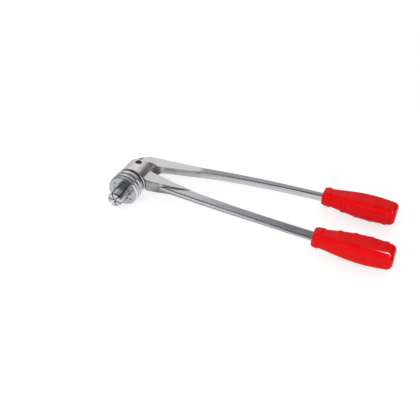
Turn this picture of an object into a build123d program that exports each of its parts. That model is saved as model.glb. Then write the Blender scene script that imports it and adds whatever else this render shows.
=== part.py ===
"""Two-lever hand tube expander: a cam lever drives a cone through six jaws in a screwed-on ring.

Frame, in millimetres: the origin is on the head's axis, at the foot of the jaws' working wall.
The jaws point along -Y, the levers run along +X and the pivot pin stands along +Z.
Everything is drawn with the levers closed, which is when the jaws are spread.
"""

import os
from math import cos, pi, radians, sin, sqrt

from build123d import *

os.makedirs("parts", exist_ok=True)

# Clearances
run_clearance = 0.05
seat_gap = 0.02
slide_gap = 0.3
cam_gap = 0.15
groove_play = 0.1

# Expander ring, which holds the jaws and screws onto the housing
ring_wall = 4.65
ring_length = 20.5
ring_face_y = 0.3
ring_front_wall = 4.5
ring_mouth_gap = 1.0
ring_bore_gap = 1.0
ring_edge = 0.8
ring_front_edge = 1.4
ring_groove_width = 3.3
ring_groove_depth = 1.7
ring_groove_edge = 0.5
ring_groove_starts = (3.4, 11.0)

# Jaws
jaw_count = 6
jaw_turn = 15.0
jaw_radius = 11.05
jaw_wall_length = 21.5
jaw_nose_length = 2.5
jaw_nose_drop = 1.2
jaw_stroke = 1.2
jaw_relief_length = 1.0
jaw_relief_depth = 0.6
jaw_shoulder_step = 1.35
jaw_flange_step = 4.6
jaw_flange_thickness = 5.0
jaw_closed_gap = 0.4

# Guide pins and garter ring
guide_pin_radius = 1.5
guide_pin_inset = 1.0
guide_pin_reach = 2.2
guide_pin_recess = 0.2
garter_section = 1.5
garter_inset = 0.7

# Retaining washer and snap ring behind the jaws
washer_thickness = 1.1
washer_bore_gap = 1.2
snap_thickness = 1.0
snap_reach = 1.6
snap_groove_depth = 0.8
snap_mouth_width = 7.0

# Mandrel with its cone, and the roller in its fork
mandrel_stroke = 7.5
mandrel_tip_inset = 2.0
mandrel_tip_edge = 0.8
shaft_radius = 8.0
cone_gap = 0.2
piston_radius = 12.0
piston_web = 2.2
fork_side_gap = 0.4
fork_overhang = 4.0
roller_radius = 4.5
roller_pin_radius = 2.5
roller_pin_inset = 0.8

# Guide bush and return spring in the housing's nose
guide_bush_length = 2.5
guide_bush_wall = 3.0
spring_length = 6.5
spring_wire = 1.2
spring_turns = 3

# Housing
housing_radius = 21.6
housing_edge = 0.8
thread_depth = 0.75
pilot_length = 2.0
neck_step = 1.85
neck_length = 5.1
ear_overhang = 7.3
ear_hollow_x = 1.0
ear_hollow_step = 0.4
bore_end_gap = 1.0
slot_side_gap = 0.6
slot_mouth = 2.0
slot_left_start = 18.5

# Pivot, which stands to one side of the head's axis
pivot_x = 2.7
pivot_y = 48.9
pin_radius = 5.0
pin_recess = 1.2
pin_edge = 0.5
pivot_bush_wall = 1.0
lever_opening = 80.0

# Moving lever's hub, knuckle and raised pad, counted from the pivot
hub_thickness = 10.0
cam_lead = 6.0
cam_points = 7
throat = (-8.0, 5.0)
throat_round = 3.0
neck_left = (-17.0, 13.0)
neck_right_inset = 0.3
neck_right_y = 3.0
crotch = (23.0, 20.6)
crotch_start_y = 13.0
knuckle_left = (-20.5, 24.0)
knuckle_shoulder = (-14.5, 37.5)
knuckle_top = (5.0, 44.4)
crotch_round = 6.0
moving_pad_height = 10.9
moving_pad_gap = 1.5
moving_pad_left = -12.0
moving_pad_foot = 10.0
moving_pad_edge = 0.3
moving_pad_outer = ((-12.0, 39.8), (5.0, 44.2), (22.0, 44.2), (40.0, 43.4), (60.0, 42.6), (82.0, 42.6))
moving_pad_inner = ((87.0, 31.2), (70.0, 28.2), (48.0, 25.4), (30.0, 23.2), (16.0, 21.2))

# Fixed lever's root, counted from the pivot: a wedge that thins from the housing to the arm
root_sections = (
    (8.0, 4.8, -23.2, 19.8, 19.8),
    (36.0, -4.1, -24.8, 16.7, 16.7),
    (62.0, -11.3, -23.6, 13.7, 13.7),
    (90.0, -18.0, -21.0, 10.6, 10.6),
)
root_round = 0.7
root_bevel = 2.2
root_bevel_reach = 4.0
dowel_radius = 2.5
dowel_y = -17.5
dowel_z = 5.5
dowel_sink = 6.6
dowel_length = 20.0

# Lever arms, counted from the pivot: place along X, inner edge, outer edge, inner and outer height
fixed_sections = (
    (36.0, -6.5, -24.0, 11.0, 9.4),
    (85.0, -17.6, -32.3, 10.6, 7.6),
    (140.0, -29.1, -41.8, 10.6, 7.2),
    (200.0, -39.3, -51.0, 10.6, 6.4),
    (264.0, -48.6, -61.0, 10.6, 5.0),
    (345.0, -52.5, -64.5, 9.0, 6.0),
)
moving_sections = (
    (30.0, 22.2, 44.0, 10.6, 9.4),
    (80.0, 28.6, 45.4, 10.6, 7.8),
    (140.0, 33.6, 47.6, 10.6, 7.2),
    (200.0, 34.4, 47.3, 10.6, 6.4),
    (262.0, 32.6, 44.8, 10.6, 5.0),
    (340.0, 28.2, 40.2, 9.0, 6.0),
)
section_round = 1.7
side_draft = 1.2

# Grips: mouths are counted from the pivot, and places along a grip from its mouth
fixed_grip_mouth = (272.6, -54.8)
fixed_grip_turn = -4.0
moving_grip_mouth = (267.0, 41.0)
moving_grip_turn = -6.2
grip_corner = 0.33
grip_sections = (
    (6.0, 23.2, 19.6),
    (32.0, 30.6, 23.7),
    (58.0, 35.9, 26.7),
    (83.0, 34.5, 25.8),
    (101.0, 30.5, 23.2),
)
grip_end_round = 7.5
collar_sections = ((0.0, 22.6, 19.0), (4.0, 25.2, 21.2), (9.0, 26.2, 22.2), (16.0, 27.4, 23.0))
collar_length = 10.9
collar_skew = 10.5
collar_round = 0.8
rib_places = (31.5, 50.5, 69.5, 88.5)
rib_width = 7.0
rib_edge = 1.2
rib_rise = 1.1
rib_cap = 0.5
rib_sink = 0.6
rib_setback = 5.0

# Places worked out along the head's axis, from the jaws back to the pivot
jaw_step = 360.0 / jaw_count
flange_front = ring_face_y + ring_front_wall + slide_gap
flange_rear = flange_front + jaw_flange_thickness
washer_front = flange_rear + slide_gap
snap_front = washer_front + washer_thickness
snap_rear = snap_front + snap_thickness
nose_front = snap_rear + groove_play + slide_gap
ring_inside = ring_face_y + ring_front_wall
ring_rear = ring_face_y + ring_length
neck_front = ring_rear + run_clearance
pilot_front = neck_front - pilot_length
housing_front = neck_front + neck_length
spring_front = nose_front + guide_bush_length
piston_front = spring_front + spring_length
fork_floor = piston_front + piston_web
roller_y = fork_floor + slide_gap + roller_radius
fork_rear = roller_y + fork_overhang
bore_end = fork_rear + mandrel_stroke + bore_end_gap

# Radii and gaps that follow from their neighbours
jaw_shoulder_radius = jaw_radius + jaw_shoulder_step
jaw_flange_radius = jaw_shoulder_radius + jaw_flange_step
ring_mouth_radius = jaw_shoulder_radius + ring_mouth_gap
ring_bore_radius = jaw_flange_radius + ring_bore_gap
ring_radius = ring_bore_radius + ring_wall
guide_pin_circle_radius = jaw_flange_radius - guide_pin_inset
washer_bore_radius = shaft_radius + washer_bore_gap
snap_inner_radius = ring_bore_radius - snap_reach
spring_radius = (shaft_radius + piston_radius) / 2
fork_gap = hub_thickness + 2 * fork_side_gap
slot_height = hub_thickness + 2 * slide_gap
spigot_radius = ring_bore_radius - run_clearance
thread_root_radius = spigot_radius - thread_depth
neck_radius = spigot_radius + neck_step
piston_bore_radius = piston_radius + run_clearance
guide_bush_bore = shaft_radius + run_clearance
guide_bush_radius = guide_bush_bore + guide_bush_wall
washer_radius = ring_bore_radius - run_clearance
snap_radius = ring_bore_radius + snap_groove_depth - groove_play
pivot_bush_bore = pin_radius + run_clearance
pivot_bush_radius = pivot_bush_bore + pivot_bush_wall
root_seat_radius = housing_radius + seat_gap
ear_hollow_radius = housing_radius + ear_hollow_step
pin_half_length = housing_radius - pin_recess
dowel_start = housing_radius - dowel_sink
roller_half_height = fork_gap / 2 - groove_play
roller_pin_half_length = sqrt(piston_radius**2 - roller_pin_radius**2) - roller_pin_inset
guide_pin_rear = flange_front + guide_pin_reach
guide_slot_rear = guide_pin_rear + slide_gap
guide_slot_radius = guide_pin_radius + groove_play
garter_radius = jaw_flange_radius - garter_inset - garter_section / 2
garter_y = guide_slot_rear + slide_gap + garter_section / 2 + groove_play
garter_groove_floor = garter_radius - garter_section / 2 - groove_play
garter_groove_width = garter_section + 2 * groove_play
jaw_gap = 2 * jaw_stroke * sin(radians(jaw_step / 2)) + jaw_closed_gap

# The ears' rear corners, which the moving lever's pad swings past
ear_y = pivot_y + ear_overhang
ear_corner_x = sqrt(housing_radius**2 - (slot_height / 2) ** 2)
ear_corner_y = ear_y + ear_hollow_radius - sqrt(ear_hollow_radius**2 - (ear_corner_x - ear_hollow_x) ** 2)
ear_corner_reach = sqrt((ear_corner_x - pivot_x) ** 2 + (ear_corner_y - pivot_y) ** 2)
moving_pad_radius = ear_corner_reach + moving_pad_gap

# The cone's taper turns the mandrel's stroke into the jaws' stroke
cone_taper = jaw_stroke / mandrel_stroke
jaw_front = -jaw_wall_length - jaw_nose_length
mandrel_tip = jaw_front + mandrel_tip_inset

# The cam's fall per radian turns the lever's opening into the mandrel's stroke
roller_reach = pivot_y - roller_y
cam_fall = mandrel_stroke / radians(lever_opening)


def cone_radius(y):
    """Radius of the mandrel's cone at a place on the head's axis."""
    return shaft_radius - (nose_front - y) * cone_taper


def across_head(y):
    """Plane square to the head's axis, with X to the right and Z up."""
    return Plane(origin=(0, y, 0), x_dir=(1, 0, 0), z_dir=(0, -1, 0))


def ring_profile(inner, outer, front, rear):
    """Sketch the half section of a plain ring about the head's axis."""
    with Locations(((inner + outer) / 2, (front + rear) / 2)):
        Rectangle(outer - inner, rear - front)


def cam_point(opening):
    """Point of the cam that meets the roller when the lever is open by this many degrees."""
    turn = radians(opening)
    reach = roller_reach - cam_fall * turn
    lean = pivot_x + cam_fall
    centre = Vector(-pivot_x * cos(turn) - reach * sin(turn), pivot_x * sin(turn) - reach * cos(turn))
    travel = Vector(lean * sin(turn) - reach * cos(turn), lean * cos(turn) + reach * sin(turn))
    outward = Vector(-travel.Y, travel.X).normalized()
    if outward.dot(centre) < 0:
        outward = outward * -1
    point = centre - outward * (roller_radius + cam_gap)
    return (point.X, point.Y)


# Plane on the pivot, from which the levers are drawn
at_pivot = Plane(origin=(pivot_x, pivot_y, 0))


def lever_loft(sections, corner_round, ruled=False):
    """Loft a forged lever through sections whose sides slope to a parting line at mid height."""
    with BuildPart() as arm:
        for place, inner, outer, inner_height, outer_height in sections:
            slope = side_draft / 2 if outer > inner else -side_draft / 2
            with BuildSketch(Plane(at_pivot.location * Plane.YZ.offset(place).location)):
                with BuildLine():
                    FilletPolyline(
                        (inner + slope, inner_height / 2),
                        (outer - slope, outer_height / 2),
                        (outer + slope, 0),
                        (outer - slope, -outer_height / 2),
                        (inner + slope, -inner_height / 2),
                        (inner - slope, 0),
                        radius=corner_round,
                        close=True,
                    )
                make_face()
        loft(ruled=ruled)
    return arm.part


def grip_plane(mouth, turn):
    """Plane at a grip's mouth, with its normal along the grip and its X across it."""
    along = (cos(radians(turn)), sin(radians(turn)), 0)
    across = (-sin(radians(turn)), cos(radians(turn)), 0)
    return Plane(origin=(pivot_x + mouth[0], pivot_y + mouth[1], 0), x_dir=across, z_dir=along)


def grip_size(place):
    """Width and height of a grip's body at a distance from its mouth."""
    for low, high in zip(grip_sections, grip_sections[1:]):
        if place <= high[0]:
            break
    share = (place - low[0]) / (high[0] - low[0])
    return low[1] + (high[1] - low[1]) * share, low[2] + (high[2] - low[2]) * share


def grip_rib(plane, place, inner_side):
    """Loft one band, proud of the grip on the side that faces the other grip and over the top."""
    width, height = grip_size(place)
    half = rib_width / 2
    steps = (
        (-half, -rib_sink, -rib_sink),
        (rib_edge - half, rib_rise, rib_cap),
        (half - rib_edge, rib_rise, rib_cap),
        (half, -rib_sink, -rib_sink),
    )
    with BuildPart() as rib:
        for shift, rise, cap in steps:
            rib_height = height + 2 * cap
            with BuildSketch(plane.offset(place + shift)):
                with Locations((inner_side * (rib_setback + rise) / 2, 0)):
                    RectangleRounded(width - rib_setback + rise, rib_height, grip_corner * rib_height)
        loft(ruled=True)
    return rib.part


def grip_loft(plane, sections):
    """Loft rounded sections along a grip."""
    with BuildPart() as body:
        for place, width, height in sections:
            with BuildSketch(plane.offset(place)):
                RectangleRounded(width, height, grip_corner * height)
        loft()
    return body.part


def grip_shape(plane, inner_side):
    """Mould a grip: swelling body with a rounded end, flared collar, longer inside, and finger ribs."""
    along = Axis(plane.origin, plane.z_dir)
    skew = radians(collar_skew)
    collar_normal = plane.z_dir * cos(skew) - plane.x_dir * (inner_side * sin(skew))
    collar_rear = Plane(origin=plane.origin + plane.z_dir * collar_length, z_dir=collar_normal)
    with BuildPart() as collar:
        add(grip_loft(plane, collar_sections))
        split(bisect_by=collar_rear, keep=Keep.BOTTOM)
        fillet(collar.faces().sort_by(along)[0].edges(), collar_round)
        fillet(collar.faces().sort_by(along)[-1].edges(), collar_round)
    with BuildPart() as grip:
        add(grip_loft(plane, grip_sections))
        fillet(grip.faces().sort_by(along)[-1].edges(), grip_end_round)
        add(collar.part)
        for place in rib_places:
            add(grip_rib(plane, place, inner_side))
    return grip.part


# The hub's round side follows on from the cam, and the housing's pocket clears it
cam_span = lever_opening + 2 * cam_lead
cam_line = [cam_point(-cam_lead + cam_span * step / (cam_points - 1)) for step in range(cam_points)]
hub_radius = sqrt(cam_line[0][0] ** 2 + cam_line[0][1] ** 2)
pocket_radius = hub_radius + slot_side_gap
neck_right = hub_radius - neck_right_inset

# Head housing: nose turned to the thread's root, pilot, neck, spring chamber, and two slotted ears
with BuildPart() as head_housing:
    rear_limit = pivot_y + housing_radius
    with BuildSketch(Plane.XY):
        with BuildLine():
            Polyline(
                (guide_bush_radius, nose_front),
                (thread_root_radius, nose_front),
                (thread_root_radius, pilot_front),
                (spigot_radius, pilot_front),
                (spigot_radius, neck_front),
                (neck_radius, neck_front),
                (neck_radius, housing_front),
                (housing_radius - housing_edge, housing_front),
                (housing_radius, housing_front + housing_edge),
                (housing_radius, rear_limit),
                (0, rear_limit),
                (0, bore_end),
                (piston_bore_radius, bore_end),
                (piston_bore_radius, spring_front),
                (guide_bush_radius, spring_front),
                close=True,
            )
        make_face()
    revolve(axis=Axis.Y)
    with BuildSketch(Plane.XY.offset(-housing_radius)):
        side = 2 * housing_radius
        with Locations((-side, ear_y)):
            Rectangle(side + ear_hollow_x, side, align=(Align.MIN, Align.MIN))
        with Locations((ear_hollow_x, ear_y + ear_hollow_radius)):
            Circle(ear_hollow_radius)
    extrude(amount=2 * housing_radius, mode=Mode.SUBTRACT)
    with BuildSketch(Plane.XY.offset(-slot_height / 2)):
        with Locations((pivot_x, pivot_y)):
            Circle(pocket_radius)
        with Locations((pivot_x, pivot_y - slot_left_start)):
            Rectangle(side, 2 * side, align=(Align.MAX, Align.MIN))
        with Locations((pivot_x, pivot_y + slot_mouth)):
            Rectangle(side, side, align=(Align.MIN, Align.MIN))
    extrude(amount=slot_height, mode=Mode.SUBTRACT)
    with BuildSketch(at_pivot.offset(-housing_radius)):
        Circle(pin_radius)
    extrude(amount=2 * housing_radius, mode=Mode.SUBTRACT)
    with BuildSketch(Plane.YZ.offset(dowel_start)):
        with Locations((pivot_y + dowel_y, -dowel_z), (pivot_y + dowel_y, dowel_z)):
            Circle(dowel_radius)
    extrude(amount=dowel_length, mode=Mode.SUBTRACT)
head_housing.part.label = "head_housing"
export_step(head_housing.part, "parts/head_housing.step")

# Guide bush pressed into the nose for the mandrel's shaft
with BuildPart() as guide_bush:
    with BuildSketch(Plane.XY):
        ring_profile(guide_bush_bore, guide_bush_radius, nose_front, spring_front)
    revolve(axis=Axis.Y)
guide_bush.part.label = "guide_bush"
export_step(guide_bush.part, "parts/guide_bush.step")

# Return spring between the guide bush's wall and the mandrel's piston
coil_front = spring_front + spring_wire / 2
coil_rise = (spring_length - spring_wire) / spring_turns
quarter_turns = 4 * spring_turns
coil_places = []
coil_headings = []
for quarter in range(quarter_turns + 1):
    coil_angle = quarter * pi / 2
    coil_y = coil_front + coil_rise * quarter / 4
    coil_places.append(Vector(spring_radius * cos(coil_angle), coil_y, spring_radius * sin(coil_angle)))
    heading = Vector(-spring_radius * sin(coil_angle), coil_rise / (2 * pi), spring_radius * cos(coil_angle))
    coil_headings.append(heading.normalized())

with BuildPart() as return_spring:
    with BuildLine() as coil_path:
        for quarter in range(quarter_turns):
            start = coil_places[quarter]
            end = coil_places[quarter + 1]
            start_heading = coil_headings[quarter]
            end_heading = coil_headings[quarter + 1]
            chord = end - start
            both = start_heading + end_heading
            bend = 2 * (1 - start_heading.dot(end_heading))
            lean = chord.dot(both)
            reach = (sqrt(lean**2 + bend * chord.dot(chord)) - lean) / bend
            middle = (start + end) * 0.5 + (start_heading - end_heading) * (reach / 2)
            first_arc = TangentArc(start, middle, tangent=start_heading)
            TangentArc(middle, end, tangent=first_arc % 1)
    with BuildSketch(Plane(origin=coil_places[0], z_dir=coil_headings[0])):
        Circle(spring_wire / 2)
    sweep(path=coil_path.wire())
return_spring.part.label = "return_spring"
export_step(return_spring.part, "parts/return_spring.step")

coil_samples = [coil_path.wire() @ (step / 240) for step in range(241)]
turn_samples = 240 // spring_turns
coil_gap = min(
    (coil_samples[later] - coil_samples[earlier]).length - spring_wire
    for earlier in range(241)
    for later in range(earlier + turn_samples // 2, 241)
)
print(f"return spring: least gap between coils {coil_gap:.2f} mm")

# Pivot pin through both ears
with BuildPart() as pivot_pin:
    with BuildSketch(at_pivot.offset(-pin_half_length)):
        Circle(pin_radius)
    extrude(amount=2 * pin_half_length)
    chamfer(pivot_pin.faces().filter_by(Axis.Z).edges(), pin_edge)
pivot_pin.part.label = "pivot_pin"
export_step(pivot_pin.part, "parts/pivot_pin.step")

# Pivot bush pressed into the moving lever's hub
with BuildPart() as pivot_bush:
    with BuildSketch(at_pivot.offset(-hub_thickness / 2)):
        Circle(pivot_bush_radius)
        Circle(pivot_bush_bore, mode=Mode.SUBTRACT)
    extrude(amount=hub_thickness)
pivot_bush.part.label = "pivot_bush"
export_step(pivot_bush.part, "parts/pivot_bush.step")

# Raised pad of the moving lever, kept clear of the ears by an arc about the pivot
with BuildPart() as moving_pad:
    with BuildSketch(at_pivot.offset(-moving_pad_height / 2)):
        with BuildLine():
            Spline(moving_pad_outer)
            Line(moving_pad_outer[-1], moving_pad_inner[0])
            Spline(moving_pad_inner)
            Polyline(
                moving_pad_inner[-1],
                (moving_pad_inner[-1][0], moving_pad_foot),
                (moving_pad_left, moving_pad_foot),
                moving_pad_outer[0],
            )
        make_face()
        Circle(moving_pad_radius, mode=Mode.SUBTRACT)
    extrude(amount=moving_pad_height)
    chamfer(moving_pad.faces().filter_by(Axis.Z).edges(), moving_pad_edge)

# Moving lever: cam and hub in the slot, knuckle behind the ears, raised pad and forged arm
with BuildPart() as moving_lever:
    hub_right = (neck_right, -sqrt(hub_radius**2 - neck_right**2))
    hub_middle = (hub_radius * cos(pi / 4), -hub_radius * sin(pi / 4))
    arm_start = moving_sections[0]
    with BuildSketch(at_pivot.offset(-hub_thickness / 2)) as hub:
        with BuildLine():
            Spline(cam_line)
            Polyline(cam_line[-1], throat, neck_left, knuckle_left)
            ThreePointArc(knuckle_left, knuckle_shoulder, knuckle_top)
            Polyline(
                knuckle_top,
                (arm_start[0], arm_start[2]),
                (arm_start[0], arm_start[1]),
                crotch,
                (crotch[0], crotch_start_y),
                (neck_right, neck_right_y),
                hub_right,
            )
            ThreePointArc(hub_right, hub_middle, cam_line[0])
        make_face()
        fillet(hub.vertices().sort_by_distance(crotch)[0], crotch_round)
        fillet(hub.vertices().sort_by_distance(throat)[0], throat_round)
        fillet(hub.vertices().sort_by_distance(neck_left)[0], throat_round)
        Circle(pivot_bush_radius, mode=Mode.SUBTRACT)
    extrude(amount=hub_thickness)
    add(moving_pad.part)
    add(lever_loft(moving_sections, section_round))
moving_lever.part.label = "moving_lever"
export_step(moving_lever.part, "parts/moving_lever.step")

# Fixed lever: wedge-shaped root seated on the housing's side with a bevelled front corner, and forged arm
with BuildPart() as fixed_lever:
    add(lever_loft(root_sections, root_round, True))
    with BuildSketch(across_head(0)):
        Circle(root_seat_radius)
    extrude(amount=-2 * pivot_y, mode=Mode.SUBTRACT)
    root_front = pivot_y + root_sections[0][2]
    with BuildSketch(Plane.XY.offset(-housing_radius)):
        with BuildLine():
            Polyline(
                (housing_radius - root_bevel_reach, root_front - root_bevel_reach),
                (housing_radius + root_bevel + root_bevel_reach, root_front - root_bevel_reach),
                (housing_radius - root_bevel_reach, root_front + root_bevel + root_bevel_reach),
                close=True,
            )
        make_face()
    extrude(amount=2 * housing_radius, mode=Mode.SUBTRACT)
    add(lever_loft(fixed_sections, section_round))
    with BuildSketch(Plane.YZ.offset(dowel_start)):
        with Locations((pivot_y + dowel_y, -dowel_z), (pivot_y + dowel_y, dowel_z)):
            Circle(dowel_radius)
    extrude(amount=dowel_length, mode=Mode.SUBTRACT)
fixed_lever.part.label = "fixed_lever"
export_step(fixed_lever.part, "parts/fixed_lever.step")

# Two dowels that carry the fixed lever on the housing
with BuildPart() as root_dowels:
    with BuildSketch(Plane.YZ.offset(dowel_start)):
        with Locations((pivot_y + dowel_y, -dowel_z), (pivot_y + dowel_y, dowel_z)):
            Circle(dowel_radius)
    extrude(amount=dowel_length)
root_dowels.part.label = "root_dowels"
export_step(root_dowels.part, "parts/root_dowels.step")

# Grips moulded over the levers' ends
with BuildPart() as fixed_grip:
    add(grip_shape(grip_plane(fixed_grip_mouth, fixed_grip_turn), 1))
    add(fixed_lever.part, mode=Mode.SUBTRACT)
fixed_grip.part.label = "fixed_grip"
export_step(fixed_grip.part, "parts/fixed_grip.step")

with BuildPart() as moving_grip:
    add(grip_shape(grip_plane(moving_grip_mouth, moving_grip_turn), -1))
    add(moving_lever.part, mode=Mode.SUBTRACT)
moving_grip.part.label = "moving_grip"
export_step(moving_grip.part, "parts/moving_grip.step")

# Mandrel: cone through the jaws, shaft, piston and fork for the roller
with BuildPart() as mandrel:
    with BuildSketch(Plane.XY):
        with BuildLine():
            Polyline(
                (0, mandrel_tip),
                (cone_radius(mandrel_tip) - mandrel_tip_edge, mandrel_tip),
                (cone_radius(mandrel_tip + mandrel_tip_edge), mandrel_tip + mandrel_tip_edge),
                (shaft_radius, nose_front),
                (shaft_radius, piston_front),
                (piston_radius, piston_front),
                (piston_radius, fork_rear),
                (0, fork_rear),
                close=True,
            )
        make_face()
    revolve(axis=Axis.Y)
    with BuildSketch(Plane.XY.offset(-fork_gap / 2)):
        with Locations((0, fork_floor)):
            Rectangle(4 * piston_radius, 4 * piston_radius, align=(Align.CENTER, Align.MIN))
    extrude(amount=fork_gap, mode=Mode.SUBTRACT)
    with BuildSketch(Plane.XY.offset(-piston_radius)):
        with Locations((0, roller_y)):
            Circle(roller_pin_radius)
    extrude(amount=2 * piston_radius, mode=Mode.SUBTRACT)
mandrel.part.label = "mandrel"
export_step(mandrel.part, "parts/mandrel.step")

# Roller that runs on the cam, and its pin
with BuildPart() as cam_roller:
    with BuildSketch(Plane.XY.offset(-roller_half_height)):
        with Locations((0, roller_y)):
            Circle(roller_radius)
            Circle(roller_pin_radius + run_clearance, mode=Mode.SUBTRACT)
    extrude(amount=2 * roller_half_height)
cam_roller.part.label = "cam_roller"
export_step(cam_roller.part, "parts/cam_roller.step")

with BuildPart() as roller_pin:
    with BuildSketch(Plane.XY.offset(-roller_pin_half_length)):
        with Locations((0, roller_y)):
            Circle(roller_pin_radius)
    extrude(amount=2 * roller_pin_half_length)
roller_pin.part.label = "roller_pin"
export_step(roller_pin.part, "parts/roller_pin.step")

# Expander ring: front wall with a mouth, two grip grooves, bore and snap ring groove
with BuildPart() as expander_ring:
    groove_line = []
    for groove_start in ring_groove_starts:
        groove_front = ring_face_y + groove_start
        groove_rear = groove_front + ring_groove_width
        groove_floor = ring_radius - ring_groove_depth
        groove_line.extend(
            (
                (ring_radius, groove_front - ring_groove_edge),
                (ring_radius - ring_groove_edge, groove_front),
                (groove_floor, groove_front),
                (groove_floor, groove_rear),
                (ring_radius - ring_groove_edge, groove_rear),
                (ring_radius, groove_rear + ring_groove_edge),
            )
        )
    snap_floor = ring_bore_radius + snap_groove_depth
    with BuildSketch(Plane.XY):
        with BuildLine():
            Polyline(
                (ring_mouth_radius, ring_face_y),
                (ring_radius - ring_front_edge, ring_face_y),
                (ring_radius, ring_face_y + ring_front_edge),
                *groove_line,
                (ring_radius, ring_rear - ring_edge),
                (ring_radius - ring_edge, ring_rear),
                (ring_bore_radius, ring_rear),
                (ring_bore_radius, snap_rear + groove_play),
                (snap_floor, snap_rear + groove_play),
                (snap_floor, snap_front - groove_play),
                (ring_bore_radius, snap_front - groove_play),
                (ring_bore_radius, ring_inside),
                (ring_mouth_radius, ring_inside),
                close=True,
            )
        make_face()
    revolve(axis=Axis.Y)
    with BuildSketch(across_head(ring_face_y)):
        with PolarLocations(guide_pin_circle_radius, jaw_count, start_angle=jaw_turn):
            Circle(guide_pin_radius)
    extrude(amount=-ring_front_wall, mode=Mode.SUBTRACT)
expander_ring.part.label = "expander_ring"
export_step(expander_ring.part, "parts/expander_ring.step")

# Guide pins pressed into the ring's front wall, one for each jaw
with BuildPart() as jaw_guide_pins:
    guide_pin_front = ring_face_y + guide_pin_recess
    with BuildSketch(across_head(guide_pin_front)):
        with PolarLocations(guide_pin_circle_radius, jaw_count, start_angle=jaw_turn):
            Circle(guide_pin_radius)
    extrude(amount=guide_pin_front - guide_pin_rear)
jaw_guide_pins.part.label = "jaw_guide_pins"
export_step(jaw_guide_pins.part, "parts/jaw_guide_pins.step")

# Garter ring round the jaws' flanges
with BuildPart() as garter_ring:
    with BuildSketch(Plane.XY):
        with Locations((garter_radius, garter_y)):
            Circle(garter_section / 2)
    revolve(axis=Axis.Y)
garter_ring.part.label = "garter_ring"
export_step(garter_ring.part, "parts/garter_ring.step")

# Washer that keeps the jaws in, and the snap ring behind it
with BuildPart() as retaining_washer:
    with BuildSketch(Plane.XY):
        ring_profile(washer_bore_radius, washer_radius, washer_front, snap_front)
    revolve(axis=Axis.Y)
retaining_washer.part.label = "retaining_washer"
export_step(retaining_washer.part, "parts/retaining_washer.step")

with BuildPart() as snap_ring:
    with BuildSketch(Plane.XY):
        ring_profile(snap_inner_radius, snap_radius, snap_front, snap_rear)
    revolve(axis=Axis.Y)
    with BuildSketch(across_head(snap_front)):
        Rectangle(snap_mouth_width, snap_radius, align=(Align.CENTER, Align.MAX))
    extrude(amount=-snap_thickness, mode=Mode.SUBTRACT)
snap_ring.part.label = "snap_ring"
export_step(snap_ring.part, "parts/snap_ring.step")

# One jaw, centred on +X: working wall, relief, stop shoulder and flange, bored to suit the cone
with BuildPart() as jaw_blank:
    with BuildSketch(Plane.XY):
        with BuildLine():
            Polyline(
                (cone_radius(jaw_front) + cone_gap, jaw_front),
                (jaw_radius - jaw_nose_drop, jaw_front),
                (jaw_radius, -jaw_wall_length),
                (jaw_radius, 0),
                (jaw_radius - jaw_relief_depth, 0),
                (jaw_radius - jaw_relief_depth, jaw_relief_length),
                (jaw_shoulder_radius, jaw_relief_length),
                (jaw_shoulder_radius, flange_front),
                (jaw_flange_radius, flange_front),
                (jaw_flange_radius, flange_rear),
                (cone_radius(flange_rear) + cone_gap, flange_rear),
                close=True,
            )
        make_face()
        with Locations((garter_groove_floor, garter_y)):
            Rectangle(
                jaw_flange_radius,
                garter_groove_width,
                align=(Align.MIN, Align.CENTER),
                mode=Mode.SUBTRACT,
            )
    revolve(axis=Axis.Y)
    half_angle = radians(jaw_step / 2)
    wedge_start = jaw_gap / 2 / sin(half_angle)
    wedge_end = 2 * jaw_flange_radius
    wedge_half = (wedge_end - wedge_start) * sin(half_angle) / cos(half_angle)
    with BuildSketch(across_head(jaw_front)):
        with BuildLine():
            Polyline((wedge_start, 0), (wedge_end, -wedge_half), (wedge_end, wedge_half), close=True)
        make_face()
    extrude(amount=jaw_front - flange_rear, mode=Mode.INTERSECT)
    with BuildSketch(across_head(flange_front)):
        with Locations((guide_pin_circle_radius, 0)):
            Circle(guide_slot_radius)
            Rectangle(jaw_flange_radius, 2 * guide_slot_radius, align=(Align.MIN, Align.CENTER))
    extrude(amount=flange_front - guide_slot_rear, mode=Mode.SUBTRACT)

head_axis = Axis((0, 0, 0), (0, -1, 0))
for jaw_number in range(jaw_count):
    jaw = jaw_blank.part.rotate(head_axis, jaw_turn + jaw_number * jaw_step)
    jaw.label = f"jaw_{jaw_number + 1}"
    export_step(jaw, f"parts/jaw_{jaw_number + 1}.step")
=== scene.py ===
"""Looks for the hand tube expander: finishes, screw thread, spring, floor, light and camera."""

import math

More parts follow.
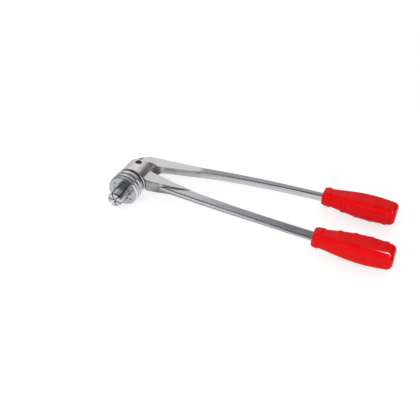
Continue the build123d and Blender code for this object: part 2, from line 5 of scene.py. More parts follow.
import bpy
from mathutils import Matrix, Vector


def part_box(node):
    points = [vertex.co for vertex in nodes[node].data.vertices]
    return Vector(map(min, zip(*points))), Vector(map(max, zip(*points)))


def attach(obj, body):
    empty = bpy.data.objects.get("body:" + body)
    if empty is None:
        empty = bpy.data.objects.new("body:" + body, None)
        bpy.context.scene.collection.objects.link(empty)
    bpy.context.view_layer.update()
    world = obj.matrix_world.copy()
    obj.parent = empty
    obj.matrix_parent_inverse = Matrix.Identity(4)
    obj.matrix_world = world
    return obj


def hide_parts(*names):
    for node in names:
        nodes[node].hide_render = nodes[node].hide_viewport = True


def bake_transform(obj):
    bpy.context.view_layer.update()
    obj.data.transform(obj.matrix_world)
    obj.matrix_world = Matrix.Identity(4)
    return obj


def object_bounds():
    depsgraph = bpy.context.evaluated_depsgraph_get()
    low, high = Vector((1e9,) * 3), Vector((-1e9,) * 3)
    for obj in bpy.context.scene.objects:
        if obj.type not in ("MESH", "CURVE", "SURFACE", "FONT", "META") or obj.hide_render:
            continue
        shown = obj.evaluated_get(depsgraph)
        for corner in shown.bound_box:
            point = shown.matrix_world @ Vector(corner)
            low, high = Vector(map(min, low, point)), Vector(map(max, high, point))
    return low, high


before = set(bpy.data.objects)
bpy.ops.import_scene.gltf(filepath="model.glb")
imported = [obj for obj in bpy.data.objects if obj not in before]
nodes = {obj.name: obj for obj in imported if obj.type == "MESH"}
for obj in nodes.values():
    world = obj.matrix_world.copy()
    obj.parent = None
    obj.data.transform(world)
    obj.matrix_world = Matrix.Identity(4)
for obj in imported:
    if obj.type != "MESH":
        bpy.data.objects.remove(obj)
cad_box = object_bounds()
scene = bpy.context.scene
scene.view_settings.view_transform = "Standard"

MM = 0.001
ROSE_CAST = (1.025, 0.985, 0.98)


def grey(level, cool=0.0):
    """A grey, pulled a little towards blue."""
    return (level * (1 - cool), level * (1 - cool / 2), level * (1 + cool), 1)


def rose(level):
    """A grey with the faint rose cast of blasted aluminium."""
    red, green, blue = ROSE_CAST
    return (level * red, level * green, level * blue, 1)


# Groups of nodes that share a finish
PLATED = ["expander_ring", "retaining_washer"]
JAWS = [f"jaw_{number}" for number in range(1, 7)]
GRIPS = ["fixed_grip", "moving_grip"]

# Camera: a lens of 550 pixels on an image 420 pixels wide, looking down at the tool from its front
IMAGE_WIDTH = 420
FOCAL_PIXELS = 550
SENSOR = 36.0
CAMERA_PLACE = (0.3444, -0.56285, 0.438)
CAMERA_DOWN = 36.0
CAMERA_TURN = 20.6

# Floor and soft light: the floor's own tone, and its glow to the camera and in metal
FLOOR_GAP = 0.5 * MM
FLOOR_SIZE = 1.2
FLOOR_TONE = 0.50
FLOOR_GLOW = 0.66
FLOOR_ROUGH = 0.9
SOFT_LIGHT = 0.58
LIT_PLACE = (0.16, 0.04, 0.0)

# Lamps, with sizes in metres and power in watts. They show only in gloss, apart from the front lamp, which
# only lights colours. Where a lamp names nodes, it lights those alone
LAMPS = (
    {"name": "front_lamp", "place": (0.05, -1.35, 0.80), "size": (1.4, 1.4), "power": 15.5, "gloss": False},
    {"name": "side_panel", "place": (0.88, -0.76, 0.16), "size": (0.7, 0.5), "power": 1.2},
    {"name": "grip_glint", "place": (0.72, -0.06, 0.60), "size": (0.34, 0.14), "power": 18, "lights": GRIPS},
    {"name": "end_glint", "place": (0.462, 0.285, 0.522), "size": (0.06, 0.05), "power": 9,
     "lights": ["fixed_grip"]},
    {"name": "head_fill", "place": (0.08, 0.79, 0.62), "size": (0.7, 0.35), "power": 0.52,
     "lights": ["head_housing"]},
    {"name": "ring_fill", "place": (0.30, 0.79, 0.55), "size": (0.7, 0.35), "power": 0.18,
     "lights": PLATED + JAWS},
)

# What polished metal sees of the studio: a wide pale screen behind on the left, and darker elsewhere
SKY_BY_HEIGHT = (
    (0.00, grey(0.42)),
    (0.20, grey(0.46)),
    (0.38, grey(0.66)),
    (0.50, grey(1.00)),
    (0.62, grey(1.00)),
    (0.76, grey(0.58, 0.02)),
    (0.88, grey(0.30, 0.05)),
    (1.00, grey(0.14, 0.06)),
)
SKY_BY_SIDE = (
    (-1.00, grey(1.00)),
    (-0.30, grey(1.00)),
    (-0.18, grey(0.70)),
    (-0.05, grey(0.58)),
    (0.10, grey(0.46)),
    (0.30, grey(0.26)),
    (0.60, grey(0.12)),
    (1.00, grey(0.08)),
)
SKY_BY_DEPTH = ((-1.00, grey(0.20)), (-0.20, grey(0.22)), (0.15, grey(1.00)), (1.00, grey(1.00)))

# Noise keeps mostly to this range, which is stretched over a finish's tones
NOISE_RANGE = (0.3, 0.7)

# Forged levers: scales of the noise, tones, roughness of ground and blasted metal, and depths of the bump
LEVER_CLOUDS = 70
LEVER_GRAIN = 1800
LEVER_STREAKS = 900
STREAK_STRETCH = (0.012, 1, 1)
BLASTED_TONES = (rose(0.82), rose(0.90))
SKIN_TONES = (grey(0.52, 0.01), grey(0.62, 0.01))
GROUND_TONES = (grey(0.56, 0.04), grey(0.80, 0.02))
LEVER_SPECKLE = (0.90, 1.06)
LEVER_ROUGH = (0.28, 0.40)
LEVER_UNEVEN = (-0.03, 0.04)
GRAIN_DEPTH = 0.014 * MM
STREAK_DEPTH = 0.02 * MM
CLOUD_DEPTH = 0.03 * MM
FLAT_FACE = (0.93, 0.985)

# Places along each lever between which the blasted finish of its pad gives way to its ground arm
FIXED_FINISH = (0 * MM, 165 * MM)
MOVING_FINISH = (85 * MM, 92 * MM)
BLASTED_SHINE = 0.60

# Parting line of the levers' forging, the painted shade that darkens each lever below it, and the tones of
# each arm's sides
PARTING = (-0.2 * MM, 0.6 * MM)
FIXED_SHADE_BELOW = 0.36
MOVING_SHADE_BELOW = 0.85
FIXED_SIDES = (grey(0.80, 0.03), grey(0.94, 0.02))
MOVING_SIDES = (grey(0.62, 0.03), grey(0.76, 0.02))

# The moving lever's painted shade on its hub, its satin sides, and an arm whose top is ground brighter to its
# end
HUB_SHADE_REACH = (24 * MM, 31 * MM)
HUB_TOP = (5.1 * MM, 5.4 * MM)
HUB_SHADE_TONE = 0.15
SATIN_SIDE = (40 * MM, 230 * MM)
SATIN_SHARE = 0.7
ARM_TOP = (95 * MM, 205 * MM)
ARM_TOP_TONES = (0.66, 1.10)

# Foot of the fixed lever's wedge, where its side stands on the arm: places along X and Y, and how far the
# painted shade in that corner reaches
WEDGE_ABOVE = (3.4 * MM, 4.2 * MM)
WEDGE_WIDTH = (0.6 * MM, 1.2 * MM)
WEDGE_FOOT = ((38.7 * MM, 24.1 * MM), (64.7 * MM, 25.3 * MM), (92.7 * MM, 27.9 * MM))
WEDGE_STARTS = (47 * MM, 55 * MM)
WEDGE_ENDS = (86 * MM, 93 * MM)
WEDGE_SHADE_TONE = 0.30

# Painted shade on the sides beside the fixed lever's root: it darkens towards the wedge, and the painted
# shade below the parting line is lifted there, so it is much the same above and below
ROOT_DARKENS = (27 * MM, 44 * MM)
ROOT_ENDS = (44 * MM, 48 * MM)
ROOT_SHADE_TONE = 0.55
ROOT_SHADE_LIFT = (0.64, 0.0)
ROOT_PARTS = (40 * MM, 60 * MM)

# The housing: blasted body, and a neck and nose that are turned thinner, with their tone darkened as painted
# shade in the groove behind the ring
HEAD_CLOUDS = 80
HEAD_GRAIN = 1800
HEAD_LINES = 2600
HEAD_TONES = (rose(0.80), rose(0.88))
HEAD_SPECKLE = (0.92, 1.05)
HEAD_ROUGH = (0.34, 0.42)
HEAD_GRAIN_DEPTH = 0.02 * MM
HEAD_LINE_DEPTH = 0.015 * MM
HEAD_CLOUD_DEPTH = 0.08 * MM
NECK_SHADE_TONES = (grey(0.16, 0.04), grey(0.26, 0.04))
NECK_RADIUS = (20.6 * MM, 20.8 * MM)
NECK_REAR = (25.9 * MM, 26.0 * MM)

# Turned steel: fine lines of the lathe over wider clouds
STEEL_TONES = (grey(0.66, 0.03), grey(0.84, 0.03))
STEEL_SHINE = 0.9
HARDENED_TONES = (grey(0.34, 0.02), grey(0.48, 0.02))
LATHE_LINES = 3600
LATHE_CLOUDS = 110
LATHE_RANGE = (0.32, 0.68)
LATHE_UNEVEN = (-0.04, 0.05)
LATHE_LINE_DEPTH = 0.010 * MM
LATHE_CLOUD_DEPTH = 0.02 * MM

# Tones of the ring's face, which is left as turned, and of the jaws that stand in front of it
RING_FACE = (0.4 * MM, 0.7 * MM)
FACE_TONE = 0.62
JAW_TONE = 0.74

# Small metal pieces
THREAD_TONES = (grey(0.50), grey(0.62))
DARK_TONES = (grey(0.03, 0.03), grey(0.07, 0.03))
PIN_TONES = (grey(0.14, 0.02), grey(0.24, 0.02))
SPRING_TONES = (grey(0.20), grey(0.32))
BRONZE_TONES = ((0.50, 0.33, 0.16, 1), (0.66, 0.46, 0.24, 1))
METAL_CLOUDS = 180
METAL_GRAIN = 2600
METAL_UNEVEN = (-0.06, 0.06)
METAL_GRAIN_DEPTH = 0.015 * MM
METAL_CLOUD_DEPTH = 0.03 * MM

# Red plastic of the grips, and black rubber
GRIP_CLOUDS = 40
GRIP_GRAIN = 900
GRIP_REDS = ((0.78, 0.004, 0.006, 1), (0.83, 0.006, 0.008, 1))
GRIP_ROUGH = (0.09, 0.14)
GRIP_GLOSS = 0.10
GRIP_GRAIN_DEPTH = 0.006 * MM
GRIP_CLOUD_DEPTH = 0.05 * MM
RUBBER_GRAIN = 1800
RUBBER_TONES = (grey(0.012), grey(0.030))
RUBBER_ROUGH = (0.55, 0.75)
RUBBER_DEPTH = 0.02 * MM

# Screw thread on the nose: it winds towards the front as a right-hand thread does
THREAD_ROOT = 17.15 * MM
THREAD_CREST = 17.9 * MM
THREAD_PITCH = 1.5 * MM
THREAD_FRONT = 13.1 * MM
THREAD_REAR = 18.75 * MM
THREAD_FLANK = 0.68 * MM
THREAD_LAND = 0.12 * MM
THREAD_STEPS = 72
THREAD_SINK = 0.1 * MM
THREAD_RUN_OUT = 0.25

# Return spring, drawn again as a coil in the box of the spring part that it hides
SPRING_WIRE = 1.2 * MM
SPRING_TURNS = 3
SPRING_STEPS = 48
WIRE_SIDES = 12


def new_material(name):
    """Make a node material and return it with its tree and its shader."""
    material = bpy.data.materials.new(name)
    material.use_nodes = True
    tree = material.node_tree
    return material, tree, tree.nodes["Principled BSDF"]


def add_node(tree, kind, **values):
    """Add a node and set its inputs or its properties by name."""
    node = tree.nodes.new(kind)
    for name, value in values.items():
        if name in node.inputs:
            node.inputs[name].default_value = value
        else:
            setattr(node, name, value)
    return node


def own_place(tree):
    """The part's own X, Y and Z in metres."""
    place = add_node(tree, "ShaderNodeTexCoord")
    parts = add_node(tree, "ShaderNodeSeparateXYZ")
    tree.links.new(place.outputs["Object"], parts.inputs["Vector"])
    return parts


def own_noise(tree, scale, stretch=(1, 1, 1), detail=4.0):
    """Noise in the part's own metres, stretched along its axes."""
    place = add_node(tree, "ShaderNodeTexCoord")
    mapping = add_node(tree, "ShaderNodeMapping")
    mapping.inputs["Scale"].default_value = stretch
    noise = add_node(tree, "ShaderNodeTexNoise", Scale=scale, Detail=detail)
    tree.links.new(place.outputs["Object"], mapping.inputs["Vector"])
    tree.links.new(mapping.outputs["Vector"], noise.inputs["Vector"])
    return noise.outputs["Fac"]


def span(tree, value, low, high, start=NOISE_RANGE[0], stop=NOISE_RANGE[1]):
    """Map a value between start and stop to a span of levels."""
    mapped = add_node(tree, "ShaderNodeMapRange", interpolation_type="SMOOTHSTEP")
    mapped.inputs["From Min"].default_value = start
    mapped.inputs["From Max"].default_value = stop
    mapped.inputs["To Min"].default_value = low
    mapped.inputs["To Max"].default_value = high
    tree.links.new(value, mapped.inputs["Value"])
    return mapped.outputs["Result"]


def calculate(tree, operation, first, second):
    """One step of arithmetic on two values, of which the second may be a number."""
    step = add_node(tree, "ShaderNodeMath", operation=operation)
    tree.links.new(first, step.inputs[0])
    if isinstance(second, (int, float)):
        step.inputs[1].default_value = second
    else:
        tree.links.new(second, step.inputs[1])
    return step.outputs["Value"]


def mix_colours(tree, share, first, second, blend="MIX"):
    """Mix two colours, each a colour or a socket."""
    mixer = add_node(tree, "ShaderNodeMix", data_type="RGBA", blend_type=blend)
    if isinstance(share, (int, float)):
        mixer.inputs["Factor"].default_value = share
    else:
        tree.links.new(share, mixer.inputs["Factor"])
    for socket, colour in (("A", first), ("B", second)):
        target = [one for one in mixer.inputs if one.name == socket and one.type == "RGBA"][0]
        if isinstance(colour, tuple):
            target.default_value = colour
        else:
            tree.links.new(colour, target)
    return [one for one in mixer.outputs if one.type == "RGBA"][0]


def colour_ramp(tree, value, stops):
    """Turn a value into a colour through stops, each a place and its colour."""
    ramp = add_node(tree, "ShaderNodeValToRGB")
    while len(ramp.color_ramp.elements) < len(stops):
        ramp.color_ramp.elements.new(1.0)
    for element, (place, colour) in zip(ramp.color_ramp.elements, stops):
        element.position = place
        element.color = colour
    tree.links.new(value, ramp.inputs["Fac"])
    return ramp.outputs["Color"]


def two_tones(tree, value, tones, places=NOISE_RANGE):
    """Run from one tone to another over a range of values."""
    return colour_ramp(tree, value, tuple(zip(places, tones)))


def bump(tree, shader, layers):
    """Chain height layers, each with its depth in metres, into the shader's normal."""
    normal = None
    for height, depth in layers:
        node = add_node(tree, "ShaderNodeBump", Strength=1.0, Distance=depth)
        tree.links.new(height, node.inputs["Height"])
        if normal is not None:
            tree.links.new(normal, node.inputs["Normal"])
        normal = node.outputs["Normal"]
    tree.links.new(normal, shader.inputs["Normal"])


def axis_radius(tree, parts):
    """Distance from the head's axis."""
    square_x = calculate(tree, "MULTIPLY", parts.outputs["X"], parts.outputs["X"])
    square_z = calculate(tree, "MULTIPLY", parts.outputs["Z"], parts.outputs["Z"])
    return calculate(tree, "SQRT", calculate(tree, "ADD", square_x, square_z), 0.0)


def lathe_lines(tree, parts, scale):
    """Fine lines round the head's axis, on cylinders and on faces alike."""
    lathe = add_node(tree, "ShaderNodeCombineXYZ")
    tree.links.new(axis_radius(tree, parts), lathe.inputs["X"])
    tree.links.new(parts.outputs["Y"], lathe.inputs["Y"])
    lines = add_node(tree, "ShaderNodeTexNoise", Scale=scale, Detail=2)
    tree.links.new(lathe.outputs["Vector"], lines.inputs["Vector"])
    return lines.outputs["Fac"]


def facing_up(tree):
    """How far a surface is one of the part's flat tops or undersides."""
    place = add_node(tree, "ShaderNodeTexCoord")
    parts = add_node(tree, "ShaderNodeSeparateXYZ")
    tree.links.new(place.outputs["Normal"], parts.inputs["Vector"])
    return span(tree, calculate(tree, "ABSOLUTE", parts.outputs["Z"], 0.0), 0.0, 1.0, *FLAT_FACE)


def painted_wedge_shade(tree, parts):
    """How near a place is to the foot of the fixed lever's wedge, where shade is painted in the corner."""
    lines = []
    for (x, y), (next_x, next_y) in zip(WEDGE_FOOT, WEDGE_FOOT[1:]):
        slope = (next_y - y) / (next_x - x)
        run = calculate(tree, "MULTIPLY", calculate(tree, "SUBTRACT", parts.outputs["X"], x), slope)
        lines.append(calculate(tree, "ADD", run, y))
    foot = calculate(tree, "MAXIMUM", *lines)
    away = calculate(tree, "ABSOLUTE", calculate(tree, "SUBTRACT", parts.outputs["Y"], foot), 0.0)
    near = span(tree, away, 1.0, 0.0, *WEDGE_WIDTH)
    past_start = span(tree, parts.outputs["X"], 0.0, 1.0, *WEDGE_STARTS)
    before_end = span(tree, parts.outputs["X"], 1.0, 0.0, *WEDGE_ENDS)
    above_arm = span(tree, parts.outputs["Z"], 0.0, 1.0, *WEDGE_ABOVE)
    along = calculate(tree, "MULTIPLY", past_start, before_end)
    return calculate(tree, "MULTIPLY", calculate(tree, "MULTIPLY", near, above_arm), along)


def painted_root_shade(tree, parts, top):
    """Painted shade on the sides of the fixed lever's root, and in the corner at its wedge's foot."""
    # Painted shade: the root's sides darken towards the wedge, while top faces and the arm past the root keep
    # their tone
    darker = span(tree, parts.outputs["X"], 1.0, ROOT_SHADE_TONE, *ROOT_DARKENS)
    past_root = span(tree, parts.outputs["X"], 0.0, 1.0, *ROOT_ENDS)
    beside = calculate(tree, "MAXIMUM", calculate(tree, "MAXIMUM", darker, top), past_root)
    # Painted shade in the corner at the wedge's foot
    corner = span(tree, painted_wedge_shade(tree, parts), 1.0, WEDGE_SHADE_TONE, 0.0, 1.0)
    return calculate(tree, "MULTIPLY", beside, corner)


def painted_hub_shade(tree, parts, top):
    """Painted shade on the moving lever's hub, beside and below the face of its pad."""
    # Painted shade on the hub's sides and on its top below the pad's face
    skin = span(tree, parts.outputs["X"], 1.0, 0.0, *HUB_SHADE_REACH)
    pad_face = calculate(tree, "MULTIPLY", top, span(tree, parts.outputs["Z"], 0.0, 1.0, *HUB_TOP))
    return span(tree, calculate(tree, "SUBTRACT", skin, pad_face), 1.0, HUB_SHADE_TONE, 0.0, 1.0)


def forged_arm(name, finish, sides, below, moving):
    """Forged aluminium lever: blasted pad, arm ground lengthwise, and painted shade below its parting line
    and near its head.
    """
    material, tree, shader = new_material(name)
    parts = own_place(tree)
    clouds = own_noise(tree, LEVER_CLOUDS, detail=5)
    grain = own_noise(tree, LEVER_GRAIN, detail=3)
    streaks = own_noise(tree, LEVER_STREAKS, stretch=STREAK_STRETCH, detail=3)
    near_head = span(tree, parts.outputs["X"], 1.0, 0.0, *finish)
    top = facing_up(tree)
    dulled = calculate(tree, "MULTIPLY", near_head, top)
    ground = two_tones(tree, streaks, GROUND_TONES)
    # Painted shade: the lever is darker below its parting line
    shade_under_parting = span(tree, parts.outputs["Z"], below, 1.0, *PARTING)
    if moving:
        satin = span(tree, parts.outputs["X"], SATIN_SHARE, 0.0, *SATIN_SIDE)
        beside = calculate(tree, "MULTIPLY", satin, span(tree, top, 1.0, 0.0, 0.0, 1.0))
        dulled = calculate(tree, "MAXIMUM", dulled, beside)
        along = span(tree, parts.outputs["X"], *ARM_TOP_TONES, *ARM_TOP)
        ground = mix_colours(tree, 1.0, ground, along, "MULTIPLY")
        # Painted shade on the hub
        own_shade = painted_hub_shade(tree, parts, top)
    else:
        # Near the root the painted shade below the parting line is lifted
        at_root = span(tree, parts.outputs["X"], *ROOT_SHADE_LIFT, *ROOT_PARTS)
        shade_under_parting = calculate(tree, "MAXIMUM", shade_under_parting, at_root)
        own_shade = painted_root_shade(tree, parts, top)
    pad = mix_colours(tree, top, two_tones(tree, clouds, SKIN_TONES), two_tones(tree, clouds, BLASTED_TONES))
    arm = mix_colours(tree, top, two_tones(tree, streaks, sides), ground)
    tone = mix_colours(tree, near_head, arm, pad)
    # All painted shade of the lever, multiplied into its base colour with the grain's speckle
    shade = calculate(tree, "MULTIPLY", shade_under_parting, own_shade)
    speckle_and_shade = calculate(tree, "MULTIPLY", span(tree, grain, *LEVER_SPECKLE), shade)
    tree.links.new(mix_colours(tree, 1.0, tone, speckle_and_shade, "MULTIPLY"), shader.inputs["Base Color"])
    tree.links.new(span(tree, dulled, 1.0, BLASTED_SHINE, 0.0, 1.0), shader.inputs["Metallic"])
    rough = span(tree, dulled, *LEVER_ROUGH, 0.0, 1.0)
    uneven = calculate(tree, "ADD", rough, span(tree, clouds, *LEVER_UNEVEN))
    tree.links.new(uneven, shader.inputs["Roughness"])
    bump(tree, shader, ((grain, GRAIN_DEPTH), (streaks, STREAK_DEPTH), (clouds, CLOUD_DEPTH)))
    return material


def forged_head(name):
    """Housing: blasted body turned with faint lathe lines, and a machined neck and nose darkened as painted
    shade.
    """
    material, tree, shader = new_material(name)
    shader.inputs["Metallic"].default_value = 1.0
    parts = own_place(tree)
    # Painted shade: the neck and nose, inside this radius and ahead of the rear, get the dark tones
    inside = span(tree, axis_radius(tree, parts), 1.0, 0.0, *NECK_RADIUS)
    ahead = span(tree, parts.outputs["Y"], 1.0, 0.0, *NECK_REAR)
    neck = calculate(tree, "MULTIPLY", inside, ahead)
    clouds = own_noise(tree, HEAD_CLOUDS, detail=5)
    grain = own_noise(tree, HEAD_GRAIN, detail=3)
    lines = lathe_lines(tree, parts, HEAD_LINES)
    tone = mix_colours(tree, neck, two_tones(tree, clouds, HEAD_TONES), two_tones(tree, lines, NECK_SHADE_TONES))
    tinted = mix_colours(tree, 1.0, tone, span(tree, grain, *HEAD_SPECKLE), "MULTIPLY")
    tree.links.new(tinted, shader.inputs["Base Color"])
    tree.links.new(span(tree, clouds, *HEAD_ROUGH), shader.inputs["Roughness"])
    bump(tree, shader, ((grain, HEAD_GRAIN_DEPTH), (lines, HEAD_LINE_DEPTH), (clouds, HEAD_CLOUD_DEPTH)))
    return material


def turned_steel(name, tones, rough, front, shine=1.0):
    """Turned steel: fine lathe lines round the head's axis, and another tone on its front."""
    material, tree, shader = new_material(name)
    shader.inputs["Metallic"].default_value = shine
    parts = own_place(tree)
    lines = lathe_lines(tree, parts, LATHE_LINES)
    clouds = own_noise(tree, LATHE_CLOUDS, detail=4)
    middle = calculate(tree, "MULTIPLY", calculate(tree, "ADD", lines, clouds), 0.5)
    tone = two_tones(tree, middle, tones, LATHE_RANGE)
    face = span(tree, parts.outputs["Y"], front, 1.0, *RING_FACE)
    tree.links.new(mix_colours(tree, 1.0, tone, face, "MULTIPLY"), shader.inputs["Base Color"])
    low, high = LATHE_UNEVEN
    tree.links.new(span(tree, clouds, rough + low, rough + high), shader.inputs["Roughness"])
    bump(tree, shader, ((lines, LATHE_LINE_DEPTH), (clouds, LATHE_CLOUD_DEPTH)))
    return material


def plain_metal(name, tones, rough):
    """Metal with a cloudy tone and a fine grain."""
    material, tree, shader = new_material(name)
    shader.inputs["Metallic"].default_value = 1.0
    clouds = own_noise(tree, METAL_CLOUDS, detail=4)
    grain = own_noise(tree, METAL_GRAIN, detail=2)
    tree.links.new(two_tones(tree, clouds, tones), shader.inputs["Base Color"])
    low, high = METAL_UNEVEN
    tree.links.new(span(tree, clouds, rough + low, rough + high), shader.inputs["Roughness"])
    bump(tree, shader, ((grain, METAL_GRAIN_DEPTH), (clouds, METAL_CLOUD_DEPTH)))
    return material


def grip_plastic(name):
    """Glossy moulded red with faint flow marks."""
    material, tree, shader = new_material(name)
    shader.inputs["Specular IOR Level"].default_value = GRIP_GLOSS
    clouds = own_noise(tree, GRIP_CLOUDS, detail=4)
    grain = own_noise(tree, GRIP_GRAIN, detail=2)
    tree.links.new(two_tones(tree, clouds, GRIP_REDS), shader.inputs["Base Color"])
    tree.links.new(span(tree, clouds, *GRIP_ROUGH), shader.inputs["Roughness"])
    bump(tree, shader, ((grain, GRIP_GRAIN_DEPTH), (clouds, GRIP_CLOUD_DEPTH)))
    return material


def soft_rubber(name):
    """Matt black rubber."""
    material, tree, shader = new_material(name)
    grain = own_noise(tree, RUBBER_GRAIN, detail=3)
    tree.links.new(two_tones(tree, grain, RUBBER_TONES), shader.inputs["Base Color"])
    tree.links.new(span(tree, grain, *RUBBER_ROUGH), shader.inputs["Roughness"])
    bump(tree, shader, ((grain, RUBBER_DEPTH),))
    return material


def paint(piece, material):
    """Give a piece one material in its only slot."""
    piece.data.materials.clear()
    piece.data.materials.append(material)


def add_mesh(name, points, faces, material, smooth=True):
    """Make a mesh piece from points and faces."""
    mesh = bpy.data.meshes.new(name)
    mesh.from_pydata(points, [], faces)
    mesh.validate()
    mesh.update()
    piece = bpy.data.objects.new(name, mesh)
    scene.collection.objects.link(piece)
    for face in mesh.polygons:
        face.use_smooth = smooth
    paint(piece, material)
    return piece


def sweep_faces(rings, sides):
    """Faces between closed rings of points, with capped ends."""
    faces = []
    for ring in range(rings - 1):
        for side in range(sides):
            near = ring * sides + side
            beside = ring * sides + (side + 1) % sides
            faces.append((near, beside, beside + sides, near + sides))
    faces.append(tuple(range(sides - 1, -1, -1)))
    faces.append(tuple(range((rings - 1) * sides, rings * sides)))
    return faces


def make_thread(material):
    """Helical ridge on the housing's nose, which runs out at both ends."""
    turns = (THREAD_REAR - THREAD_FRONT - 2 * THREAD_FLANK) / THREAD_PITCH
    steps = int(turns * THREAD_STEPS)
    points = []
    for step in range(steps + 1):
        angle = 2 * math.pi * step / THREAD_STEPS
        middle = THREAD_REAR - THREAD_FLANK - THREAD_PITCH * step / THREAD_STEPS
        run_out = min(1.0, min(step, steps - step) / (THREAD_STEPS * THREAD_RUN_OUT))
        crest = THREAD_ROOT + (THREAD_CREST - THREAD_ROOT) * run_out
        profile = (
            (THREAD_ROOT - THREAD_SINK, THREAD_FLANK),
            (THREAD_ROOT, THREAD_FLANK),
            (crest, THREAD_LAND),
            (crest, -THREAD_LAND),
            (THREAD_ROOT, -THREAD_FLANK),
            (THREAD_ROOT - THREAD_SINK, -THREAD_FLANK),
        )
        for radius, shift in profile:
            points.append((radius * math.cos(angle), middle + shift, radius * math.sin(angle)))
    thread = add_mesh("nose_thread", points, sweep_faces(steps + 1, len(profile)), material, smooth=False)
    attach(thread, "frame")


def make_spring(material):
    """Coil between the guide bush and the mandrel's piston, drawn in the box of the spring part that it
    hides.
    """
    low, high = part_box("return_spring")
    coil_radius = (high[0] - low[0] - SPRING_WIRE) / 2
    front = low[1] + SPRING_WIRE / 2
    rise = (high[1] - low[1] - SPRING_WIRE) / SPRING_TURNS
    steps = SPRING_TURNS * SPRING_STEPS
    points = []
    for step in range(steps + 1):
        angle = 2 * math.pi * step / SPRING_STEPS
        out = Vector((math.cos(angle), 0, math.sin(angle)))
        heading = Vector((-coil_radius * out.z, rise / (2 * math.pi), coil_radius * out.x)).normalized()
        across = heading.cross(out)
        centre = out * coil_radius + Vector((0, front + rise * step / SPRING_STEPS, 0))
        for side in range(WIRE_SIDES):
            turn = 2 * math.pi * side / WIRE_SIDES
            points.append(centre + (out * math.cos(turn) + across * math.sin(turn)) * SPRING_WIRE / 2)
    spring = add_mesh("coil_spring", points, sweep_faces(steps + 1, WIRE_SIDES), material)
    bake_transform(spring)
    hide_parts("return_spring")


def in_mirrors(tree, path):
    """Whether a ray comes from gloss or through glass."""
    return calculate(tree, "MAXIMUM", path.outputs["Is Glossy Ray"], path.outputs["Is Transmission Ray"])


def make_floor():
    """Pale floor under the tool, white to the camera and in polished metal."""
    height = cad_box[0].z - FLOOR_GAP
    half = FLOOR_SIZE / 2
    centre = Vector((LIT_PLACE[0], LIT_PLACE[1], height))
    corners = [centre + Vector(step) * half for step in ((-1, -1, 0), (1, -1, 0), (1, 1, 0), (-1, 1, 0))]
    material, tree, shader = new_material("floor")
    shader.inputs["Base Color"].default_value = grey(FLOOR_TONE)
    shader.inputs["Roughness"].default_value = FLOOR_ROUGH
    shader.inputs["Specular IOR Level"].default_value = 0.0
    shader.inputs["Emission Color"].default_value = grey(1.0)
    path = add_node(tree, "ShaderNodeLightPath")
    seen = calculate(tree, "MAXIMUM", path.outputs["Is Camera Ray"], in_mirrors(tree, path))
    tree.links.new(calculate(tree, "MULTIPLY", seen, FLOOR_GLOW), shader.inputs["Emission Strength"])
    add_mesh("floor", corners, [(0, 1, 2, 3)], material)


def make_world():
    """White behind the tool, the studio in metal, and an even soft light on everything else."""
    world = bpy.data.worlds.new("studio")
    scene.world = world
    world.use_nodes = True
    tree = world.node_tree
    tree.nodes.clear()
    out = add_node(tree, "ShaderNodeOutputWorld")
    background = add_node(tree, "ShaderNodeBackground")
    tree.links.new(background.outputs["Background"], out.inputs["Surface"])
    place = add_node(tree, "ShaderNodeTexCoord")
    parts = add_node(tree, "ShaderNodeSeparateXYZ")
    tree.links.new(place.outputs["Generated"], parts.inputs["Vector"])
    sky = colour_ramp(tree, parts.outputs["Z"], SKY_BY_HEIGHT)
    for axis, stops in (("X", SKY_BY_SIDE), ("Y", SKY_BY_DEPTH)):
        level = calculate(tree, "MULTIPLY", calculate(tree, "ADD", parts.outputs[axis], 1.0), 0.5)
        shade = colour_ramp(tree, level, [((side + 1) / 2, colour) for side, colour in stops])
        sky = mix_colours(tree, 1.0, sky, shade, "MULTIPLY")
    path = add_node(tree, "ShaderNodeLightPath")
    unseen = mix_colours(tree, in_mirrors(tree, path), grey(SOFT_LIGHT), sky)
    colour = mix_colours(tree, path.outputs["Is Camera Ray"], unseen, grey(1.0))
    tree.links.new(colour, background.inputs["Color"])


def make_lamp(name, place, size, power, gloss=True, lights=()):
    """Soft lamp aimed at the tool, which may light only some of its nodes."""
    data = bpy.data.lights.new(name, "AREA")
    data.shape = "RECTANGLE"
    data.size, data.size_y = size
    data.energy = power
    lamp = bpy.data.objects.new(name, data)
    scene.collection.objects.link(lamp)
    lamp.location = place
    lamp.rotation_euler = (Vector(LIT_PLACE) - Vector(place)).to_track_quat("-Z", "Y").to_euler()
    lamp.visible_camera = False
    lamp.visible_glossy = gloss
    lamp.visible_diffuse = not gloss
    if lights:
        receivers = bpy.data.collections.new(f"lit_by_{name}")
        for node in lights:
            receivers.objects.link(nodes[node])
        lamp.light_linking.receiver_collection = receivers


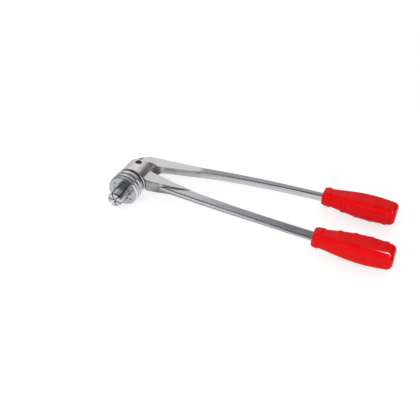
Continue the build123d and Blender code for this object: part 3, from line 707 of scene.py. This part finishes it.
def make_camera():
    """Camera at the photo's angle."""
    data = bpy.data.cameras.new("camera")
    data.sensor_width = SENSOR
    data.lens = SENSOR * FOCAL_PIXELS / IMAGE_WIDTH
    camera = bpy.data.objects.new("camera", data)
    scene.collection.objects.link(camera)
    camera.location = CAMERA_PLACE
    camera.rotation_euler = (math.radians(90 - CAMERA_DOWN), 0, math.radians(CAMERA_TURN))
    scene.camera = camera


materials = {
    "fixed": forged_arm("forged_fixed", FIXED_FINISH, FIXED_SIDES, FIXED_SHADE_BELOW, moving=False),
    "moving": forged_arm("forged_moving", MOVING_FINISH, MOVING_SIDES, MOVING_SHADE_BELOW, moving=True),
    "head": forged_head("forged_head"),
    "plated": turned_steel("plated_steel", STEEL_TONES, rough=0.20, front=FACE_TONE, shine=STEEL_SHINE),
    "jaws": turned_steel("jaw_steel", STEEL_TONES, rough=0.26, front=JAW_TONE, shine=STEEL_SHINE),
    "ground": turned_steel("hardened_steel", HARDENED_TONES, rough=0.26, front=FACE_TONE),
    "thread": plain_metal("cut_thread", THREAD_TONES, rough=0.30),
    "dark": plain_metal("dark_steel", DARK_TONES, rough=0.36),
    "pins": plain_metal("pin_steel", PIN_TONES, rough=0.24),
    "spring": plain_metal("spring_steel", SPRING_TONES, rough=0.32),
    "bronze": plain_metal("bronze", BRONZE_TONES, rough=0.34),
    "rubber": soft_rubber("black_rubber"),
    "red": grip_plastic("red_grip"),
}
finishes = {
    "head": ["head_housing"],
    "fixed": ["fixed_lever"],
    "moving": ["moving_lever"],
    "plated": PLATED,
    "jaws": JAWS,
    "ground": ["mandrel", "cam_roller"],
    "dark": ["pivot_pin", "root_dowels", "roller_pin"],
    "pins": ["jaw_guide_pins"],
    "spring": ["snap_ring", "return_spring"],
    "bronze": ["guide_bush", "pivot_bush"],
    "rubber": ["garter_ring"],
    "red": GRIPS,
}
for finish, members in finishes.items():
    for member in members:
        paint(nodes[member], materials[finish])

make_thread(materials["thread"])
make_spring(materials["spring"])
make_floor()
make_world()
for lamp in LAMPS:
    make_lamp(**lamp)
make_camera()
